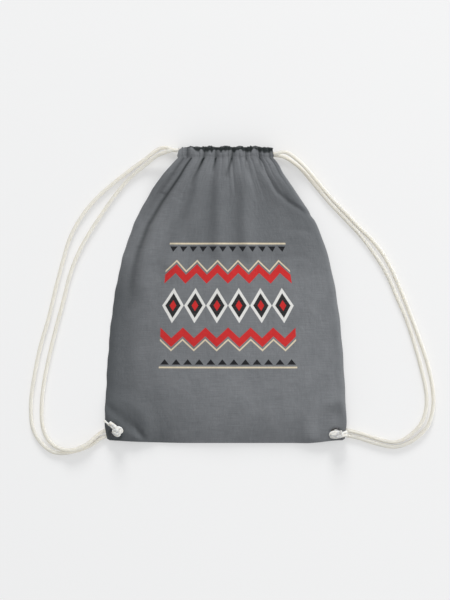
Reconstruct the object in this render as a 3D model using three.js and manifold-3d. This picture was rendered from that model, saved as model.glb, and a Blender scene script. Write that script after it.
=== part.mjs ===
// Cotton drawstring bag, worn on the back by its two cords, lying flat with its mouth drawn half shut.
// Each cord runs once round the casing, turns back at the far side and is knotted at its own bottom corner.
// Millimetres: +X across the bag, +Y from the bottom seam to the mouth, +Z up from the surface it lies on.
import * as THREE from 'three';
import { mergeVertices } from 'three/addons/utils/BufferGeometryUtils.js';
import Module from 'manifold-3d';

const wasm = await Module();
wasm.setup();

// Bag: its flat width, its length with the mouth drawn in, and the width that the gathers leave at the mouth.
const BAG_WIDTH = 370;
const BAG_LENGTH = 452;
const MOUTH_WIDTH = 144;
const CASING_DEPTH = 18;
const CORNER_RADIUS = 12;
const GATHER_REACH = 0.26;

// Cloth: thickness of a panel, its seams, and the room between layers that lie on each other.
const CLOTH = 1.0;
const SEAM_WIDTH = 7;
const SEAM_THICKNESS = 1.0;
const LAYER_GAP = 0.6;
const GAP = 0.3;

// Fullness: how far the front stands off the back. It falls slowly to the left and rolls over at the right.
// Below the neck it hollows a little, and then slopes up to the casing, where the folds calm down.
const CROWN = 20;
const CREST = 0.05;
const RIGHT_FALL = 0.35;
const RIGHT_FALL_BEND = 1.6;
const RIGHT_ROLL_BEND = 30;
const BOTTOM_RISE = 95;
const BOTTOM_BEND = 3;
const NECK_RISE = 60;
const NECK_SLOPE = 95;
const NECK_BEND = 1.5;
const NECK_CALM = 0.5;
const NECK_HOLLOW = 0.25;
const HOLLOW_START = 198;
const HOLLOW_END = 88;
const EDGE_CALM = 12;
const MOUTH_GAP = 5.0;

// Casing: a flat tunnel of cloth with pleats on its outer side and a ruffle along its top edge.
const CASING_WALL = 1.2;
const PLEATS = 11;
const FRONT_PLEAT = 1.8;
const BACK_PLEAT = 0.6;
const RUFFLE = 1.6;
const PLEAT_STEPS = 4;
const CASING_SIDES = 12;
const CASING_SQUARENESS = 5;

// Cord: soft twisted cotton, two lanes side by side in each casing.
const CORD = 6.0;
const CORD_SIDES = 8;
const CORD_SLACK = 0.6;
const LANE_PITCH = 6.8;
const STRAND_STEPS = 30;
const BIGHT_STEPS = 8;
const FLOOR_CLEARANCE = 0.4;

// Corner: the eyelet, its washer on the back, and the cloth patch between the panels that it grips.
const EYELET_INSET = 17;
const EYELET_BORE = 9.4;
const EYELET_BARREL = 10.8;
const EYELET_FLANGE = 16;
const EYELET_THICKNESS = 1.0;
const EYELET_LIP = 0.4;
const LATHE_SIDES = 24;
const PATCH_SIZE = 16;
const SEAM_END_ROOM = 2;
const LIFT_FLAT = 24;
const LIFT_END = 72;

// Knot: an overhand knot in the doubled cord, wider across than the eyelet, and the two cord ends beyond it.
const KNOT_LENGTH = 20;
const KNOT_BREADTH = 17.5;
const KNOT_HEIGHT = 14;
const KNOT_WRAP = 2.6;
const KNOT_WRAP_PITCH = 4.4;
const KNOT_TWIST = 0.45;
const KNOT_SIDES = 6;
const NECK_DIAMETER = 8.6;
const TAIL_DIAMETER = 5;
const TAIL_STEPS = 4;

// Grids of the panels: finer on the front, which carries the folds.
const FRONT_COLUMNS = 40;
const COLUMNS = 26;
const ROWS = 20;

const clothMaterial = new THREE.MeshStandardMaterial({ color: 0x5a5e61, roughness: 0.92, metalness: 0 });
const cordMaterial = new THREE.MeshStandardMaterial({ color: 0xe9e4d8, roughness: 0.95, metalness: 0 });
const metalMaterial = new THREE.MeshStandardMaterial({ color: 0xb9bbbd, roughness: 0.3, metalness: 1 });

const bottomY = -BAG_LENGTH / 2;
const topY = BAG_LENGTH / 2;
const neckY = topY - CASING_DEPTH;
const mouthHalf = MOUTH_WIDTH / 2;
const cordRadius = CORD / 2;
const lieZ = cordRadius + FLOOR_CLEARANCE;

const eyeletX = BAG_WIDTH / 2 - EYELET_INSET;
const eyeletY = bottomY + EYELET_INSET;
const washerZ = lieZ + cordRadius + GAP;
const cornerLift = washerZ + EYELET_THICKNESS + GAP;
const panelRoom = SEAM_THICKNESS + 2 * LAYER_GAP;
const patchZ = cornerLift + CLOTH + LAYER_GAP;
const flangeZ = cornerLift + 2 * CLOTH + panelRoom + GAP;

const laneY = (topY + neckY) / 2;
const leftLaneY = laneY + LANE_PITCH / 2;
const rightLaneY = laneY - LANE_PITCH / 2;
const boreHalfY = LANE_PITCH / 2 + cordRadius + CORD_SLACK;
const boreHalfZ = cordRadius + CORD_SLACK;
const casingHalfZ = boreHalfZ + CASING_WALL;
const backCasingZ = casingHalfZ + BACK_PLEAT;
const frontCasingZ = backCasingZ + 2 * casingHalfZ + MOUTH_GAP;
const bightRadius = (frontCasingZ - backCasingZ) / 2;
const bightX = mouthHalf - bightRadius - cordRadius - GAP;
const frontNeckZ = frontCasingZ + casingHalfZ - 2 * CLOTH;

function smooth(share) {
  const t = THREE.MathUtils.clamp(share, 0, 1);
  return t * t * (3 - 2 * t);
}

// Half the width of the bag at a height: narrow at the gathers, wider below them, round at the corners.
function halfWidth(y) {
  const fall = THREE.MathUtils.clamp((neckY - y) / (neckY - bottomY), 0, 1);
  const spread = (1 - Math.exp(-fall / GATHER_REACH)) / (1 - Math.exp(-1 / GATHER_REACH));
  const straight = mouthHalf + (BAG_WIDTH / 2 - mouthHalf) * spread;
  const inside = Math.max(CORNER_RADIUS - (y - bottomY), 0);
  return straight - (CORNER_RADIUS - Math.sqrt(CORNER_RADIUS ** 2 - inside ** 2));
}

// How far a spot belongs to a corner: 1 round the eyelet, where the layers lie flat, and 0 well away from it.
function cornerShare(x, y) {
  const away = Math.hypot(Math.abs(x) - eyeletX, y - eyeletY);
  return smooth((LIFT_END - away) / (LIFT_END - LIFT_FLAT));
}

// Underside of the back: flat on the ground, up over the cords at both corners, up to the casing at the neck.
function backZ(x, y) {
  const neck = (backCasingZ - CLOTH / 2) * smooth(1 - (neckY - y) / NECK_RISE);
  return cornerLift * cornerShare(x, y) + neck;
}

// Main folds of the front, which fan out from the gathers. Points are shares of the half width and
// distances below the neck. Each fold has a height, or a depth below zero, and a width to its left and
// right, all given at its start and its end.
const foldLines = [
  {
    points: [[-0.67, 0], [-0.7, 20], [-0.73, 44], [-0.77, 94], [-0.79, 149], [-0.79, 188]],
    height: [7, 4],
    left: [5, 12],
    right: [17, 26],
  },
  {
    points: [[-0.72, 1], [-0.72, 12], [-0.72, 30], [-0.78, 69], [-0.84, 103], [-0.86, 143], [-0.86, 179]],
    height: [-5, -1],
    left: [4, 8],
    right: [4, 8],
  },
  {
    points: [[-0.35, 0], [-0.42, 25], [-0.38, 57], [-0.43, 97], [-0.49, 118], [-0.54, 156]],
    height: [6.4, 3.6],
    left: [6, 13],
    right: [11, 17],
  },
  {
    points: [[-0.11, 4], [-0.1, 38], [-0.08, 88], [-0.08, 138]],
    height: [4, 3.8],
    left: [8, 12],
    right: [10, 12],
  },
  {
    points: [[0.32, 2], [0.28, 42], [0.21, 98], [0.22, 138]],
    height: [4.2, 3.8],
    left: [8, 12],
    right: [11, 14],
  },
  {
    points: [[0.69, 0], [0.66, 32], [0.67, 56]],
    height: [3.4, 1.4],
    left: [8, 12],
    right: [9, 14],
  },
  {
    points: [[0.65, 8], [0.65, 30], [0.69, 52], [0.79, 67], [0.95, 84], [1.04, 90]],
    height: [-1.2, -4.2],
    left: [5, 5],
    right: [5, 5],
  },
];

function between([start, end], share) {
  return start + (end - start) * share;
}

// What one fold adds to the height of the front at a spot.
function foldAt({ points, height, left, right }, x, y) {
  const line = points.map(([share, fall]) => {
    const lineY = neckY - fall;
    return new THREE.Vector2(share * halfWidth(lineY), lineY);
  });
  const steps = line.length - 1;
  const spot = new THREE.Vector2(x, y);
  let nearest = { away: Infinity, along: 0, onLeft: false };
  for (let k = 0; k < steps; k += 1) {
    const step = line[k + 1].clone().sub(line[k]);
    const from = spot.clone().sub(line[k]);
    const share = THREE.MathUtils.clamp(from.dot(step) / step.lengthSq(), 0, 1);
    const away = from.clone().addScaledVector(step, -share).length();
    if (away < nearest.away) {
      nearest = { away, along: (k + share) / steps, onLeft: step.cross(from) < 0 };
    }
  }
  const width = between(nearest.onLeft ? left : right, nearest.along);
  return between(height, nearest.along) * Math.exp(-((nearest.away / width) ** 2));
}

// Underside of the front: the fullness and its folds, flat at the corners, the sides and the bottom.
function frontZ(x, y) {
  const share = THREE.MathUtils.clamp(x / halfWidth(y), -1, 1);
  const leftFall = (Math.max(CREST - share, 0) / (1 + CREST)) ** 2;
  const right = Math.max(share, 0);
  const rightFall = RIGHT_FALL * right ** RIGHT_FALL_BEND + (1 - RIGHT_FALL) * right ** RIGHT_ROLL_BEND;
  const rise = 1 - THREE.MathUtils.clamp(1 - (y - bottomY) / BOTTOM_RISE, 0, 1) ** BOTTOM_BEND;
  const hollow = 1 - NECK_HOLLOW * smooth((HOLLOW_START - (neckY - y)) / (HOLLOW_START - HOLLOW_END));
  const flat = 1 - cornerShare(x, y);
  const crown = CROWN * (1 - leftFall - rightFall) * rise * hollow * flat;
  const calm = (1 - Math.abs(share) ** EDGE_CALM) * flat * rise;
  const folds = calm * foldLines.reduce((sum, fold) => sum + foldAt(fold, x, y), 0);
  const near = smooth(1 - (neckY - y) / NECK_SLOPE) ** NECK_BEND;
  const low = backZ(x, y) + CLOTH + panelRoom + crown;
  return low + (frontNeckZ - low) * near + folds * (1 - NECK_CALM * near);
}

// Columns crowd towards the side seams and rows towards both ends, where the cloth bends most.
function columnAt(i, count) {
  const share = (2 * i) / count - 1;
  return (share + Math.sin((share * Math.PI) / 2)) / 2;
}

function rowAt(j, count) {
  return bottomY + (neckY - GAP - bottomY) * (0.5 - 0.5 * Math.cos((j * Math.PI) / count));
}

// A sheet of cloth as a closed solid: place(i, j) gives x and y, under(x, y) the height of its lower face.
function sheet(columns, rows, place, under, thickness) {
  const across = columns + 1;
  const layer = across * (rows + 1);
  const points = [];
  for (const lift of [0, thickness]) {
    for (let j = 0; j <= rows; j += 1) {
      for (let i = 0; i <= columns; i += 1) {
        const [x, y] = place(i, j);
        points.push(x, y, under(x, y) + lift);
      }
    }
  }
  const faces = [];
  const quad = (a, b, c, d) => faces.push(a, b, c, a, c, d);
  for (let j = 0; j < rows; j += 1) {
    for (let i = 0; i < columns; i += 1) {
      const a = j * across + i;
      quad(a, a + across, a + across + 1, a + 1);
      quad(layer + a, layer + a + 1, layer + a + across + 1, layer + a + across);
    }
  }
  for (let i = 0; i < columns; i += 1) {
    const far = rows * across + i;
    quad(i, i + 1, layer + i + 1, layer + i);
    quad(far + 1, far, layer + far, layer + far + 1);
  }
  for (let j = 0; j < rows; j += 1) {
    const near = j * across;
    const far = near + columns;
    quad(near + across, near, layer + near, layer + near + across);
    quad(far, far + across, layer + far + across, layer + far);
  }
  return closedGeometry(points, faces);
}

function closedGeometry(points, faces) {
  const geometry = new THREE.BufferGeometry();
  geometry.setAttribute('position', new THREE.Float32BufferAttribute(points, 3));
  geometry.setIndex(faces);
  geometry.computeVertexNormals();
  return geometry;
}

// A casing: a flat tube along X with a straight bore. side is +1 where the pleats stand up, -1 below.
function casing(centreZ, side, pleatDepth) {
  const steps = PLEATS * PLEAT_STEPS;
  const points = [];
  const ring = (x, halfY, halfZ, ruffle, pleat) => {
    for (let k = 0; k < CASING_SIDES; k += 1) {
      const turn = ((k + 0.5) * 2 * Math.PI) / CASING_SIDES;
      const y = Math.sign(Math.cos(turn)) * Math.abs(Math.cos(turn)) ** (2 / CASING_SQUARENESS);
      const z = Math.sign(Math.sin(turn)) * Math.abs(Math.sin(turn)) ** (2 / CASING_SQUARENESS);
      const out = halfZ * z + pleat * Math.max(z, 0);
      points.push(x, laneY + halfY * y - ruffle * Math.max(y, 0), centreZ + side * out);
    }
  };
  for (let s = 0; s <= steps; s += 1) {
    const x = -mouthHalf + (MOUTH_WIDTH * s) / steps;
    const crest = 0.5 - 0.5 * Math.cos((s * 2 * Math.PI) / PLEAT_STEPS);
    ring(x, CASING_DEPTH / 2, casingHalfZ, RUFFLE * (1 - crest), pleatDepth * crest);
  }
  const bore = points.length / 3;
  ring(-mouthHalf, boreHalfY, boreHalfZ, 0, 0);
  ring(mouthHalf, boreHalfY, boreHalfZ, 0, 0);
  const faces = [];
  const quad = (a, b, c, d) => (side > 0 ? faces.push(a, b, c, a, c, d) : faces.push(a, c, b, a, d, c));
  for (let k = 0; k < CASING_SIDES; k += 1) {
    const next = (k + 1) % CASING_SIDES;
    for (let s = 0; s < steps; s += 1) {
      const here = s * CASING_SIDES;
      quad(here + k, here + next, here + CASING_SIDES + next, here + CASING_SIDES + k);
    }
    const end = steps * CASING_SIDES;
    const far = bore + CASING_SIDES;
    quad(bore + next, bore + k, far + k, far + next);
    quad(k, bore + k, bore + next, next);
    quad(end + next, far + next, far + k, end + k);
  }
  return closedGeometry(points, faces);
}

// Solid with the others cut out of it, or joined to it, as one closed geometry.
function solidOf(geometry) {
  const plain = new THREE.BufferGeometry();
  plain.setAttribute('position', geometry.getAttribute('position'));
  plain.setIndex(geometry.index);
  const merged = mergeVertices(plain, 1e-3);
  return new wasm.Manifold(new wasm.Mesh({
    numProp: 3,
    vertProperties: merged.getAttribute('position').array,
    triVerts: new Uint32Array(merged.index.array),
  }));
}

function geometryOf(solid) {
  const { vertProperties, triVerts } = solid.getMesh();
  return closedGeometry(Array.from(vertProperties), Array.from(triVerts));
}

function cut(geometry, tools) {
  const left = tools.reduce((solid, tool) => solid.subtract(solidOf(tool)), solidOf(geometry));
  return geometryOf(left);
}

function join(geometries) {
  const [first, ...others] = geometries.map(solidOf);
  return geometryOf(others.reduce((solid, other) => solid.add(other), first));
}

function upright(diameter, lowZ, highZ, x, y) {
  const geometry = new THREE.CylinderGeometry(diameter / 2, diameter / 2, highZ - lowZ, LATHE_SIDES);
  geometry.rotateX(Math.PI / 2);
  return geometry.translate(x, y, (lowZ + highZ) / 2);
}

// A length of cord along a path, with flat ends.
function cordAlong(path, steps, diameter = CORD) {
  const section = new THREE.Shape();
  for (let k = 0; k < CORD_SIDES; k += 1) {
    const turn = ((k + 0.5) * 2 * Math.PI) / CORD_SIDES;
    const spot = new THREE.Vector2(Math.cos(turn), Math.sin(turn)).multiplyScalar(diameter / 2);
    if (k === 0) section.moveTo(spot.x, spot.y);
    else section.lineTo(spot.x, spot.y);
  }
  section.closePath();
  return new THREE.ExtrudeGeometry(section, { steps, extrudePath: path, bevelEnabled: false });
}

function straightCord(fromX, toX, y, z) {
  return cordAlong(new THREE.LineCurve3(new THREE.Vector3(fromX, y, z), new THREE.Vector3(toX, y, z)), 1);
}

function smoothPath(points) {
  return new THREE.CatmullRomCurve3(points.map(([x, y, z = lieZ]) => new THREE.Vector3(x, y, z)));
}

// The turn of a cord from one casing to the other, just inside the end of the mouth on the given side.
function bight(side, y) {
  const points = [];
  for (let k = 0; k <= BIGHT_STEPS; k += 1) {
    const turn = Math.PI / 2 - (k * Math.PI) / BIGHT_STEPS;
    const x = side * (bightX + bightRadius * Math.cos(turn));
    points.push([x, y, (frontCasingZ + backCasingZ) / 2 + bightRadius * Math.sin(turn)]);
  }
  return cordAlong(smoothPath(points), BIGHT_STEPS);
}

// Opening at the end of both casings on the given side, where the other cord turns back.
function bightSlot(side, y) {
  const deep = mouthHalf - bightX + CORD;
  const slot = new THREE.BoxGeometry(deep, CORD + 2 * CORD_SLACK, frontCasingZ - backCasingZ);
  return slot.translate(side * (bightX - cordRadius + deep / 2), y, (frontCasingZ + backCasingZ) / 2);
}

// Eyelet, pressed through both panels from the front, and the washer that it is rolled over on the back.
function eyelet(side) {
  const flange = EYELET_FLANGE / 2;
  const barrel = EYELET_BARREL / 2;
  const bore = EYELET_BORE / 2;
  const top = flangeZ + EYELET_THICKNESS;
  const profile = [
    [bore, washerZ],
    [barrel, washerZ],
    [barrel, flangeZ],
    [flange, flangeZ],
    [flange, flangeZ + EYELET_LIP],
    [flange - EYELET_LIP, top],
    [bore + EYELET_LIP, top],
    [bore, top - EYELET_LIP],
    [bore, washerZ],
  ];
  return turned(profile, side);
}

function washer(side) {
  const outer = EYELET_FLANGE / 2;
  const inner = EYELET_BARREL / 2 + GAP;
  const top = washerZ + EYELET_THICKNESS;
  return turned([[inner, washerZ], [outer, washerZ], [outer, top], [inner, top], [inner, washerZ]], side);
}

function turned(profile, side) {
  const geometry = new THREE.LatheGeometry(profile.map(([r, z]) => new THREE.Vector2(r, z)), LATHE_SIDES);
  geometry.rotateX(Math.PI / 2);
  return geometry.translate(side * eyeletX, eyeletY, 0);
}

function patch(side) {
  const cloth = new THREE.BoxGeometry(PATCH_SIZE, PATCH_SIZE, SEAM_THICKNESS);
  cloth.translate(side * eyeletX, eyeletY, patchZ + SEAM_THICKNESS / 2);
  return cut(cloth, [eyeletHole(side)]);
}

function eyeletHole(side) {
  return upright(EYELET_BARREL + 2 * GAP, 0, flangeZ + CROWN, side * eyeletX, eyeletY);
}

// Knot on the front of the eyelet: a core with three wraps, the doubled cord below it, and both cord ends.
function knot(side, offset, lean, ends) {
  const centreX = side * eyeletX + offset[0];
  const centreY = eyeletY + offset[1];
  const centreZ = flangeZ + EYELET_THICKNESS + GAP + KNOT_HEIGHT / 2;
  const core = new THREE.SphereGeometry(0.5, CASING_SIDES, CORD_SIDES);
  core.scale(KNOT_LENGTH - KNOT_WRAP, KNOT_BREADTH - KNOT_WRAP, KNOT_HEIGHT - KNOT_WRAP);
  const wraps = [-1, 0, 1].map((turn) => {
    const ringRadius = KNOT_BREADTH / 2 - KNOT_WRAP;
    const wrap = new THREE.TorusGeometry(ringRadius, KNOT_WRAP, KNOT_SIDES, CASING_SIDES);
    wrap.rotateY(Math.PI / 2);
    wrap.scale(1, 1, (KNOT_HEIGHT - KNOT_WRAP) / (KNOT_BREADTH - KNOT_WRAP));
    wrap.rotateZ(turn * KNOT_TWIST);
    return wrap.translate(turn * KNOT_WRAP_PITCH, 0, 0);
  });
  const body = [core, ...wraps].map((piece) => piece.rotateZ(lean).translate(centreX, centreY, centreZ));
  const neck = upright(NECK_DIAMETER, GAP, centreZ, side * eyeletX, eyeletY);
  const tails = ends.map((points) => {
    const placed = [[0, 0, 0], ...points].map(([x, y, z]) => [centreX + x, centreY + y, centreZ + z]);
    return cordAlong(smoothPath(placed), TAIL_STEPS, TAIL_DIAMETER);
  });
  return join([...body, neck, ...tails]);
}

// Panels, and the seams that join them along both sides and the bottom.
function panel(under, columns) {
  const place = (i, j) => {
    const y = rowAt(j, ROWS);
    return [columnAt(i, columns) * halfWidth(y), y];
  };
  return cut(sheet(columns, ROWS, place, under, CLOTH), [eyeletHole(-1), eyeletHole(1)]);
}

function seamZ(x, y) {
  return backZ(x, y) + CLOTH + LAYER_GAP;
}

function sideSeam(side) {
  const place = (i, j) => {
    const y = rowAt(j, ROWS);
    const inset = side > 0 ? SEAM_WIDTH * (1 - i) : SEAM_WIDTH * i;
    return [side * (halfWidth(y) - inset), y];
  };
  return sheet(1, ROWS, place, seamZ, SEAM_THICKNESS);
}

function bottomSeam() {
  const place = (i, j) => {
    const y = bottomY + (SEAM_WIDTH * j) / 2;
    return [columnAt(i, COLUMNS) * (halfWidth(y) - SEAM_WIDTH - SEAM_END_ROOM), y];
  };
  return sheet(COLUMNS, 2, place, seamZ, SEAM_THICKNESS);
}

// Where a strand reaches the cord that stands up through its eyelet: two strands lie side by side there.
const strandEndX = eyeletX + NECK_DIAMETER / 2 + GAP;
const strandPitch = CORD + LAYER_GAP;
const exitX = mouthHalf + 2 * GAP;
const leadX = exitX + CORD;

// Free strands, from the casing's end round to the corner they go under. Points lie on the ground unless a
// third number lifts them.
const leftBackRoute = [
  [-exitX, leftLaneY, backCasingZ],
  [-leadX, leftLaneY, backCasingZ],
  [-84.5, 224, 5.2],
  [-92, 226.8, 4.8],
  [-100, 225.6, 4.2],
  [-110, 219.2, 3.7],
  [-123, 208.5],
  [-142, 195],
  [-177, 168],
  [-203, 143],
  [-224, 116],
  [-239, 86],
  [-248.5, 54],
  [-259, 15],
  [-271, -35],
  [-283, -76],
  [-291.5, -118],
  [-297, -165],
  [-294, -203],
  [-281, -226],
  [-265.5, -238.3],
  [-252, -241.4],
  [-237, -240],
  [-218, -234.8],
  [-204, -228.2],
  [-190, -218.6],
  [-strandEndX, eyeletY - strandPitch / 2],
];
const leftFrontRoute = [
  [-exitX, leftLaneY, frontCasingZ],
  [-leadX, leftLaneY, frontCasingZ],
  [-87, 217.4, 19],
  [-104, 210.8, 13],
  [-124, 198, 6],
  [-148, 179],
  [-172, 152],
  [-192, 122],
  [-211, 93],
  [-226, 65],
  [-239, 30],
  [-248, -8],
  [-259, -45],
  [-268, -84],
  [-276, -125],
  [-280.5, -165],
  [-279.5, -197],
  [-273, -217],
  [-262, -229.5, 4.4],
  [-249, -235.2, 7.2],
  [-237, -236.4, 9.6],
  [-224, -233.2, 9.8],
  [-210, -226, 8.8],
  [-198, -216, 5.4],
  [-188, -208.6],
  [-180, -206],
  [-strandEndX, eyeletY + strandPitch / 2],
];
const rightFrontRoute = [
  [exitX, rightLaneY, frontCasingZ],
  [leadX, rightLaneY, frontCasingZ],
  [87, 215.4, 19.4],
  [98, 213.4, 17],
  [116, 201, 12],
  [141, 173, 6],
  [163, 147],
  [184, 125.5],
  [204, 104.5],
  [222, 86],
  [238, 66],
  [252, 42],
  [266, 12],
  [281, -25],
  [296, -66],
  [309, -107],
  [316.5, -145],
  [317, -170],
  [309, -199],
  [293.5, -216.4],
  [277, -226.8],
  [259, -231.6],
  [242, -229.8],
  [222, -224.2],
  [200, -217.2],
  [strandEndX, eyeletY - strandPitch / 2],
];
const rightBackRoute = [
  [exitX, rightLaneY, backCasingZ],
  [leadX, rightLaneY, backCasingZ],
  [90, 212.5, 5],
  [110, 197],
  [134, 168],
  [156, 141],
  [183, 113],
  [207, 87],
  [229, 59],
  [247, 30],
  [261, -3],
  [275, -36],
  [288, -75],
  [299, -113],
  [306.5, -150],
  [306, -174],
  [299, -195],
  [286, -210.2],
  [273.5, -219.4],
  [259, -224.2],
  [244, -222.8],
  [224, -217],
  [203, -210.4],
  [182, -206],
  [strandEndX, eyeletY + strandPitch / 2],
];

// Knots: how far off its eyelet each lies, its lean, and the cord ends beyond it, as points from its centre.
const leftKnot = knot(-1, [4, 2], -0.6, [
  [[-8, 8, 2], [-13, 14, 0]],
  [[-10, 7, -3], [-17, 14, -4]],
]);
const rightKnot = knot(1, [1, -3], 0.1, [
  [[8, 0, 1], [13, 1, -1]],
  [[7, 4, -2], [12, 8, -4]],
]);

// A cord in the casings: one run in the front, its turn at the far end, and one run in the back.
const farX = bightX - 2 * GAP;
const turnSlots = [bightSlot(1, leftLaneY), bightSlot(-1, rightLaneY)];

const pieces = [
  ['back_panel', panel(backZ, COLUMNS), clothMaterial],
  ['left_side_seam', sideSeam(-1), clothMaterial],
  ['right_side_seam', sideSeam(1), clothMaterial],
  ['bottom_seam', bottomSeam(), clothMaterial],
  ['left_corner_patch', patch(-1), clothMaterial],
  ['right_corner_patch', patch(1), clothMaterial],
  ['front_panel', panel(frontZ, FRONT_COLUMNS), clothMaterial],
  ['back_casing', cut(casing(backCasingZ, -1, BACK_PLEAT), turnSlots), clothMaterial],
  ['front_casing', cut(casing(frontCasingZ, 1, FRONT_PLEAT), turnSlots), clothMaterial],
  ['left_eyelet', eyelet(-1), metalMaterial],
  ['right_eyelet', eyelet(1), metalMaterial],
  ['left_eyelet_washer', washer(-1), metalMaterial],
  ['right_eyelet_washer', washer(1), metalMaterial],
  ['left_cord_front_run', straightCord(-mouthHalf, farX, leftLaneY, frontCasingZ), cordMaterial],
  ['left_cord_turn', bight(1, leftLaneY), cordMaterial],
  ['left_cord_back_run', straightCord(-mouthHalf, farX, leftLaneY, backCasingZ), cordMaterial],
  ['right_cord_front_run', straightCord(-farX, mouthHalf, rightLaneY, frontCasingZ), cordMaterial],
  ['right_cord_turn', bight(-1, rightLaneY), cordMaterial],
  ['right_cord_back_run', straightCord(-farX, mouthHalf, rightLaneY, backCasingZ), cordMaterial],
  ['left_strand_back', cordAlong(smoothPath(leftBackRoute), STRAND_STEPS), cordMaterial],
  ['left_strand_front', cordAlong(smoothPath(leftFrontRoute), STRAND_STEPS), cordMaterial],
  ['right_strand_front', cordAlong(smoothPath(rightFrontRoute), STRAND_STEPS), cordMaterial],
  ['right_strand_back', cordAlong(smoothPath(rightBackRoute), STRAND_STEPS), cordMaterial],
  ['left_knot', leftKnot, cordMaterial],
  ['right_knot', rightKnot, cordMaterial],
];

const bag = new THREE.Group();
bag.name = 'drawstring_bag';
for (const [name, geometry, material] of pieces) {
  const mesh = new THREE.Mesh(geometry, material);
  mesh.name = name;
  bag.add(mesh);
}

export default bag;
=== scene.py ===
import math

import bpy
import numpy as np
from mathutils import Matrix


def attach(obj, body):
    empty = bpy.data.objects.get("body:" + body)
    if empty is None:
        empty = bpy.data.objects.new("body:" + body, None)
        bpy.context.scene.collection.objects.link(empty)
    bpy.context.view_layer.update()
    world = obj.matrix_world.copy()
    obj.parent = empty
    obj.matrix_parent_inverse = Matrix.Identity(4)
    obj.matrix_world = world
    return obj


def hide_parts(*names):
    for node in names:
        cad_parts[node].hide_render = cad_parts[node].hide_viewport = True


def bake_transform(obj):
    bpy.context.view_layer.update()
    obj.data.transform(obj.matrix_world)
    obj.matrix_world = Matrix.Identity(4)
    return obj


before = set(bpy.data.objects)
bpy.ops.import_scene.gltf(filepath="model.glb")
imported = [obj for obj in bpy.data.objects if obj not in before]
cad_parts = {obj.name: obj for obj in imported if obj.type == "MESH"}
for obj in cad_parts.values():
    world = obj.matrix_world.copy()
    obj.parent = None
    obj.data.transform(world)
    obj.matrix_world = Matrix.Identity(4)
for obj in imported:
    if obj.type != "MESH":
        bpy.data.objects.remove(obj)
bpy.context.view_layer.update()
MM = 0.001

# Cloth of the bag: plain-woven cotton canvas, dyed blue-grey, 0.7 mm thick, with uneven slub threads across
# it. The front carries a printed band of zigzags and lozenges, in thin ink that lets the weave show through.
CLOTH = 0.7
CLOTH_GREY = (0.212, 0.219, 0.229, 1.0)
CLOTH_DARK = (0.112, 0.119, 0.127, 1.0)
# Painted shade colour for the darker patches listed below.
CLOTH_PAINTED_SHADE = (0.085, 0.092, 0.098, 1.0)
# Painted shade, near-black, laid over the cloth in creases, between pleats, along the hem's top edge and
# round the knots.
PAINTED_SHADE_BLACK = (0.006, 0.010, 0.010, 1.0)
INK_RED = (0.60, 0.022, 0.022, 1.0)
INK_BLACK = (0.008, 0.008, 0.01, 1.0)
INK_WHITE = (0.78, 0.77, 0.74, 1.0)
INK_CREAM = (0.72, 0.62, 0.45, 1.0)
# Painted shade, where the cloth is coloured darker to stand in for light falling off: from, to and softness
# across the cloth, the same along it, and how much.
PAINTED_SHADE_PATCHES = [
    ((-400, -60, 125), (-600, 60, 220), 0.3),
    ((-400, -132, 45), (-600, 60, 50), 0.75),
    ((-400, -40, 90), (-600, -130, 65), 0.7),
    ((-130, 400, 60), (20, 200, 60), 0.42),
    ((125, 400, 40), (95, 215, 30), 0.35),
    ((168, 400, 17), (-600, 150, 50), 0.6),
]
THREAD_PITCH = 0.62
PRINT_CENTRE = (4.0, -16.0)
PRINT_HALF = 108.0
LOZENGES = 6
INK_EDGE = 0.5


class Finish:
    """A material under construction: small helpers that add and wire its nodes."""

    def __init__(self, name):
        self.material = bpy.data.materials.new(name)
        self.material.use_nodes = True
        self.tree = self.material.node_tree
        self.shader = self.tree.nodes["Principled BSDF"]

    def wire(self, value, socket):
        if isinstance(value, bpy.types.NodeSocket):
            self.tree.links.new(value, socket)
        else:
            socket.default_value = value

    def math(self, operation, a, b=0.0, clamp=False):
        node = self.tree.nodes.new("ShaderNodeMath")
        node.operation = operation
        node.use_clamp = clamp
        self.wire(a, node.inputs[0])
        self.wire(b, node.inputs[1])
        return node.outputs[0]

    def give(self, label, value):
        self.wire(value, self.shader.inputs[label])

    def weigh(self, *terms, base=0.0):
        """A base plus values, each times its weight."""
        total = base
        for value, weight in terms:
            total = self.math("ADD", total, self.math("MULTIPLY", value, weight))
        return total

    def attribute(self, name, output):
        node = self.tree.nodes.new("ShaderNodeAttribute")
        node.attribute_name = name
        return node.outputs[output]

    def object_place(self):
        return self.tree.nodes.new("ShaderNodeTexCoord").outputs["Object"]

    def split(self, vector):
        node = self.tree.nodes.new("ShaderNodeSeparateXYZ")
        self.tree.links.new(vector, node.inputs[0])
        return node.outputs["X"], node.outputs["Y"]

    def noise(self, vector, scale, detail, roughness):
        node = self.tree.nodes.new("ShaderNodeTexNoise")
        node.inputs["Scale"].default_value = 1.0
        node.inputs["Detail"].default_value = detail
        node.inputs["Roughness"].default_value = roughness
        self.tree.links.new(self.stretch(vector, scale), node.inputs["Vector"])
        return node.outputs["Fac"]

    def stretch(self, vector, scale):
        node = self.tree.nodes.new("ShaderNodeMapping")
        node.inputs["Scale"].default_value = scale
        self.tree.links.new(vector, node.inputs["Vector"])
        return node.outputs["Vector"]

    def mix(self, share, a, b):
        node = self.tree.nodes.new("ShaderNodeMix")
        node.data_type = "RGBA"
        self.wire(share, node.inputs[0])
        self.wire(a, node.inputs[6])
        self.wire(b, node.inputs[7])
        return node.outputs[2]

    def between(self, value, low, high, soft):
        rise = self.math("DIVIDE", self.math("SUBTRACT", value, low), soft, True)
        fall = self.math("DIVIDE", self.math("SUBTRACT", high, value), soft, True)
        return self.math("MULTIPLY", rise, fall)

    def bump(self, height, strength, distance, below=None):
        node = self.tree.nodes.new("ShaderNodeBump")
        node.inputs["Strength"].default_value = strength
        node.inputs["Distance"].default_value = distance
        self.tree.links.new(height, node.inputs["Height"])
        if below is not None:
            self.tree.links.new(below, node.inputs["Normal"])
        return node.outputs["Normal"]


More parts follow.
